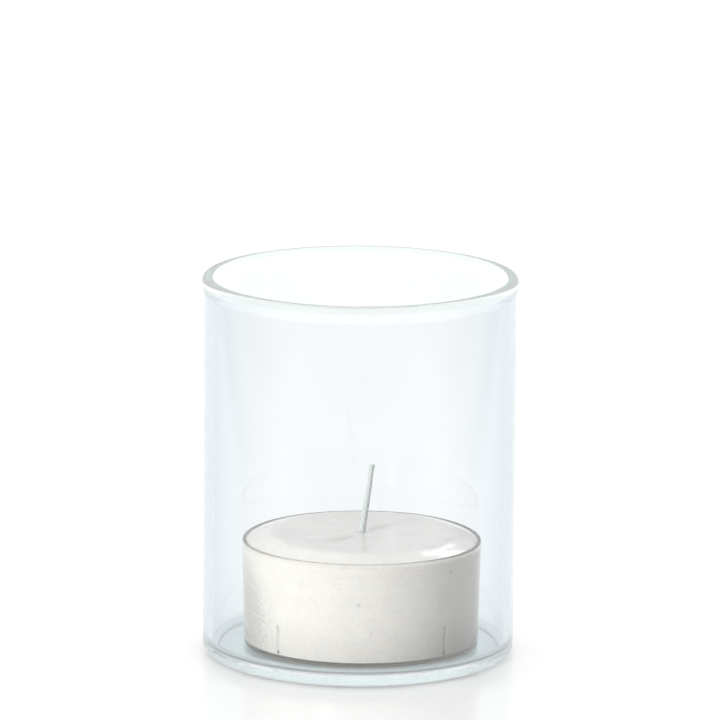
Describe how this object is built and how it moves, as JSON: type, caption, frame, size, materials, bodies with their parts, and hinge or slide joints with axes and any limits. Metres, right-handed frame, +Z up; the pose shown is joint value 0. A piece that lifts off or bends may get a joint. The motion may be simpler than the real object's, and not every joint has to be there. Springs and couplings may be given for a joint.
{
  "type": "tealight holder",
  "caption": "Straight-sided clear glass cylinder with a flat floor and a rounded lip, holding a large clear-cup tealight that lifts out.",
  "frame": {"origin": "centre of the glass's foot, on the surface it stands on", "axes": "+Z up along the glass's axis; the wick leans towards +X; -Y is the front"},
  "size_m": [0.0764, 0.0764, 0.093],
  "materials": {
    "clear_glass": "clear, fire-polished, faintly blue-green",
    "clear_plastic": "clear, moulded, glossy",
    "wax": "cream paraffin wax, soft gloss, slightly translucent",
    "waxed_cotton": "braided cotton, primed with wax",
    "tinplate": "pressed tinplate"
  },
  "bodies": {
    "holder": {"glass_cup": "clear_glass"},
    "tealight": {"tealight_cup": "clear_plastic", "wax_fill": "wax", "wick": "waxed_cotton", "wick_sustainer": "tinplate"}
  },
  "joints": [
    {"name": "tealight_lift", "type": "slide", "parent": "holder", "child": "tealight", "axis": [0, 0, 1], "range_m": [0, 0.1]}
  ]
}
